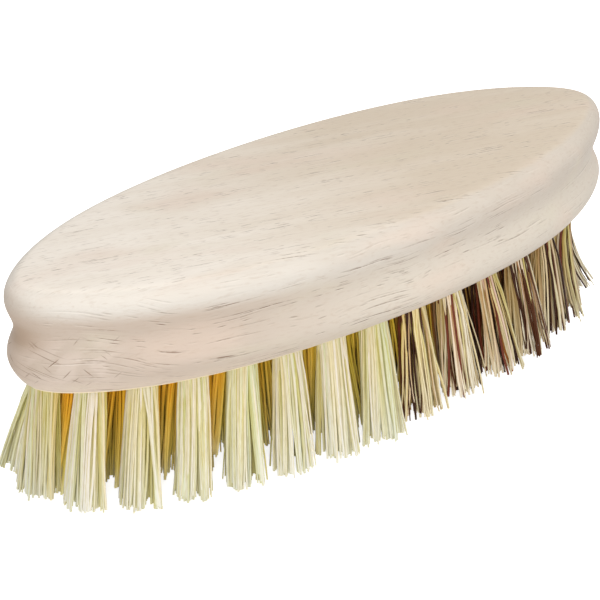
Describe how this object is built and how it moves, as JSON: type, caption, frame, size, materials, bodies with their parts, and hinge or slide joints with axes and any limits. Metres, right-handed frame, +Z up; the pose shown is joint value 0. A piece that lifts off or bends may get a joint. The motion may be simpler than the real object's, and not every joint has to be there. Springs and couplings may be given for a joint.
{
  "type": "vegetable brush",
  "caption": "Oval wooden hand brush with a moulded finger groove and fanned tufts of plant fibre, one half soft and plain, the other half stiff and mixed.",
  "frame": {"origin": "on the plane that the bristle tips stand on, under the middle of the block", "axes": "+X along the block towards the mixed bristles, +Y across it, +Z up out of its flat top"},
  "size_m": [0.1373, 0.0504, 0.0455],
  "materials": {
    "wood": "sanded, unsealed pale beech",
    "plain_fibre": "matt cream plant fibre",
    "mixed_fibre": "matt plant fibre, cream, tan and dark brown together"
  },
  "bodies": {
    "root": {"mixed_tuft_01": "mixed_fibre", "mixed_tuft_02": "mixed_fibre", "mixed_tuft_03": "mixed_fibre", "mixed_tuft_04": "mixed_fibre", "mixed_tuft_05": "mixed_fibre", "mixed_tuft_06": "mixed_fibre", "mixed_tuft_07": "mixed_fibre", "mixed_tuft_08": "mixed_fibre", "mixed_tuft_09": "mixed_fibre", "mixed_tuft_10": "mixed_fibre", "mixed_tuft_11": "mixed_fibre", "mixed_tuft_12": "mixed_fibre", "mixed_tuft_13": "mixed_fibre", "mixed_tuft_14": "mixed_fibre", "mixed_tuft_15": "mixed_fibre", "mixed_tuft_16": "mixed_fibre", "mixed_tuft_17": "mixed_fibre", "mixed_tuft_18": "mixed_fibre", "mixed_tuft_19": "mixed_fibre", "mixed_tuft_20": "mixed_fibre", "mixed_tuft_21": "mixed_fibre", "mixed_tuft_22": "mixed_fibre", "mixed_tuft_23": "mixed_fibre", "mixed_tuft_24": "mixed_fibre", "mixed_tuft_25": "mixed_fibre", "mixed_tuft_26": "mixed_fibre", "mixed_tuft_27": "mixed_fibre", "mixed_tuft_28": "mixed_fibre", "mixed_tuft_29": "mixed_fibre", "plain_tuft_01": "plain_fibre", "plain_tuft_02": "plain_fibre", "plain_tuft_03": "plain_fibre", "plain_tuft_04": "plain_fibre", "plain_tuft_05": "plain_fibre", "plain_tuft_06": "plain_fibre", "plain_tuft_07": "plain_fibre", "plain_tuft_08": "plain_fibre", "plain_tuft_09": "plain_fibre", "plain_tuft_10": "plain_fibre", "plain_tuft_11": "plain_fibre", "plain_tuft_12": "plain_fibre", "plain_tuft_13": "plain_fibre", "plain_tuft_14": "plain_fibre", "plain_tuft_15": "plain_fibre", "plain_tuft_16": "plain_fibre", "plain_tuft_17": "plain_fibre", "plain_tuft_18": "plain_fibre", "plain_tuft_19": "plain_fibre", "plain_tuft_20": "plain_fibre", "plain_tuft_21": "plain_fibre", "plain_tuft_22": "plain_fibre", "plain_tuft_23": "plain_fibre", "plain_tuft_24": "plain_fibre", "plain_tuft_25": "plain_fibre", "plain_tuft_26": "plain_fibre", "plain_tuft_27": "plain_fibre", "plain_tuft_28": "plain_fibre", "wooden_block": "wood"}
  },
  "joints": []
}
